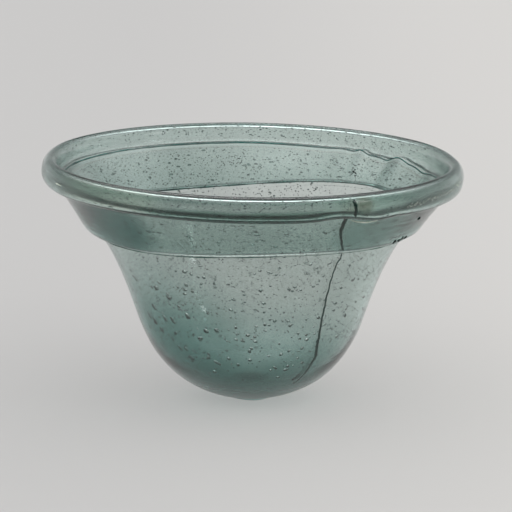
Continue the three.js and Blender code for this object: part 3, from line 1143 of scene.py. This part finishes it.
def build_world():
    """Plain light for the floor. Glass sees a studio, pale behind and darker in front."""
    world = bpy.data.worlds.new("studio")
    bpy.context.scene.world = world
    tree = Tree(world)
    plain = tree.add("Background", {"Color": (*PLAIN_LIGHT, 1), "Strength": PLAIN_LIGHT_STRENGTH})

    direction = tree.add("TexCoord").outputs["Generated"]
    parts = tree.parts(direction)
    behind = ramp(tree, parts["Z"], BEHIND_STOPS)
    before = ramp(tree, parts["Z"], BEFORE_STOPS)
    backward = tree.ranged(parts["Y"], *BACKWARD_FROM_TO, 0, 1)
    sides = (LEFT_SHARE * STUDIO_STRENGTH, RIGHT_SHARE * STUDIO_STRENGTH)
    strength = tree.ranged(parts["X"], *SIDEWAYS_FROM_TO, *sides)
    for soft_window in (SKYLIGHT, SIDE_WINDOW):
        strength = tree.calculated("ADD", strength, window(tree, direction, *soft_window))
    pale = tree.mixed(backward, before, behind)
    studio = tree.add("Background", {"Color": pale, "Strength": strength})

    shown = tree.calculated("MAXIMUM", *tree.rays())
    tree.add("OutputWorld", {"Surface": tree.joined(shown, plain, studio)})


def build_lamp():
    """A narrow lamp, high on the right, for the streak of light on the roll."""
    data = bpy.data.lights.new("strip_right", "AREA")
    data.shape = "RECTANGLE"
    data.size, data.size_y = LAMP_SIZE
    data.energy = LAMP_POWER
    lamp = bpy.data.objects.new("strip_right", data)
    lamp.location = LAMP_PLACE
    lamp.rotation_euler = (Vector(LAMP_AIM) - Vector(LAMP_PLACE)).to_track_quat("-Z", "Y").to_euler()
    bpy.context.collection.objects.link(lamp)


def set_render():
    scene = bpy.context.scene
    scene.view_settings.view_transform = "Standard"
    scene.cycles.max_bounces = LIGHT_BOUNCES
    scene.cycles.glossy_bounces = LIGHT_BOUNCES
    scene.cycles.transmission_bounces = LIGHT_BOUNCES


# The cup

def build_glass():
    """The three glass bodies, each in the place of its solid. The scar keeps its solid and gets glass."""
    wall = glass_material("wall_glass", *WALL_LOOK, wear_and_lower_shade=LOWER_SHADE)
    rim = glass_material("roll_glass", *ROLL_LOOK, painted_roll_shade=ROLL_SHADE)
    ply = glass_material("collar_glass", *COLLAR_LOOK)
    bowl = sweep("bowl_glass", bowl_section, wall)
    roll = sweep("rim_roll_glass", roll_section, rim)
    collar = sweep("collar_glass", collar_section, ply)
    for thing in (bowl, roll, collar):
        keep_edges(thing)
    attach(bowl)
    attach(roll)
    attach(collar)
    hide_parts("bowl")
    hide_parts("rim_roll")
    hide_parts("collar")
    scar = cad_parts["pontil_scar"]
    scar.data.materials.clear()
    scar.data.materials.append(wall)
    return bowl, roll, collar


def build_bubbles(bowl):
    # The bubbles' and seeds' skins are tinted dark: painted shade for their dark rims
    bubble_painted_shade = shaded_skin_material("bubble_painted_shade", (0.30, 0.36, 0.34), (0.80, 0.86, 0.84))
    seed_painted_shade = shaded_skin_material("seed_painted_shade", (0.03, 0.045, 0.04), (0.15, 0.19, 0.18))
    attach(wall_bubbles("bowl_bubbles", bubble_painted_shade, **BOWL_BUBBLES, rings=8, around=10))
    attach(big_bubbles(bubble_painted_shade, bowl))
    attach(wall_bubbles("bowl_seeds", seed_painted_shade, **BOWL_SEEDS, rings=3, around=6))
    attach(roll_bubbles(seed_painted_shade, **ROLL_SEEDS))
    attach(collar_bubbles(bubble_painted_shade, **COLLAR_BUBBLES))


def build_cracks(bowl, roll, collar):
    dirt = matt_material("crack_dirt", (0.018, 0.085, 0.065), (0.045, 0.130, 0.105))
    attach(cleft("rim_roll_crack", roll, dirt, 21, *ROLL_CRACK))
    attach(cleft("collar_crack", collar, dirt, 22, *COLLAR_CRACK))
    attach(cleft("bowl_crack", bowl, dirt, 23, *BOWL_CRACK))


def build_shade_rings():
    """Rings of painted shade: in the crease and the far crease, in the fold and the gap under the collar, and
    on the collar's lip.
    """
    # Dark rings that paint the shade of the crease, the far crease, the fold, the gap under the collar and
    # the collar's lip
    crease_painted_shade = matt_material("crease_painted_shade", (0.030, 0.170, 0.145), (0.060, 0.260, 0.230))
    in_crease = level_offset(AZIMUTHS, -COLLAR_TOP_OUT)
    attach(shade_ring("crease_shade_ring", in_crease, crease_painted_shade, *CREASE_SHADE_RING))
    in_far_crease = level_offset(AZIMUTHS, WALL_GLASS * FAR_SHADE_DEPTH_SHARE, -FAR_SHADE_RISE)
    attach(shade_ring("far_crease_shade_ring", in_far_crease, crease_painted_shade, *FAR_CREASE_SHADE_RING))
    fold_and_gap_shade = shaded_skin_material("fold_and_gap_painted_shade", (0.06, 0.15, 0.14), (0.14, 0.28, 0.26), 1.0)
    in_fold = level_offset(AZIMUTHS, -PLY_GAP / 2, -FOLD_SHADE_RISE)
    attach(shade_ring("fold_shade_ring", in_fold, fold_and_gap_shade, *FOLD_SHADE_RING))
    lip_painted_shade = matt_material("edge_shade_ring", (0.070, 0.140, 0.120), (0.130, 0.210, 0.185))
    edge = edge_height(AZIMUTHS)
    on_edge = wall_offset_at(AZIMUTHS, edge + EDGE_SHADE_RISE, -PLY_GAP - COLLAR_GLASS / 2)
    attach(shade_ring("edge_shade_ring", on_edge, lip_painted_shade, *EDGE_SHADE_RING))
    in_gap = wall_offset_at(AZIMUTHS, edge + GAP_SHADE_RISE, -PLY_GAP / 2)
    attach(shade_ring("gap_shade_ring", in_gap, fold_and_gap_shade, *GAP_SHADE_RING))


def build_specks(bowl, roll, collar):
    crumb = matt_material("crumb_dirt", (0.008, 0.012, 0.010), (0.026, 0.032, 0.027))
    attach(lumps("collar_edge_crumbs", *strokes(), collar, crumb, seed=31))
    # Pale strands and specks that paint highlights on the crease and the roll
    painted_highlight = matt_material("painted_highlight", (0.50, 0.56, 0.48), (0.72, 0.76, 0.68))
    attach(strand("crease_painted_highlight", CREASE_PAINTED_HIGHLIGHT, collar, painted_highlight, seed=33))
    attach(strand("roll_glint", ROLL_GLINT, roll, painted_highlight, seed=37))
    highlight_specks = refined(ROLL_PAINTED_HIGHLIGHT_BAND, ROLL_PAINTED_HIGHLIGHT_STEPS, ROLL_PAINTED_HIGHLIGHT_WANDER, seed=35)
    highlight_speck_sizes = np.random.default_rng(36).uniform(*ROLL_PAINTED_HIGHLIGHT_SIZES, len(highlight_specks))
    attach(lumps("roll_painted_highlight_specks", highlight_specks, highlight_speck_sizes, roll, painted_highlight, seed=34))
    attach(lumps("wall_star", WALL_STAR, STAR_SIZES, bowl, crumb, seed=32))


set_render()
build_camera()
build_floor()
build_world()
build_lamp()
bowl_glass, roll_glass, collar_glass = build_glass()
build_bubbles(bowl_glass)
build_cracks(bowl_glass, roll_glass, collar_glass)
build_shade_rings()
build_specks(bowl_glass, roll_glass, collar_glass)
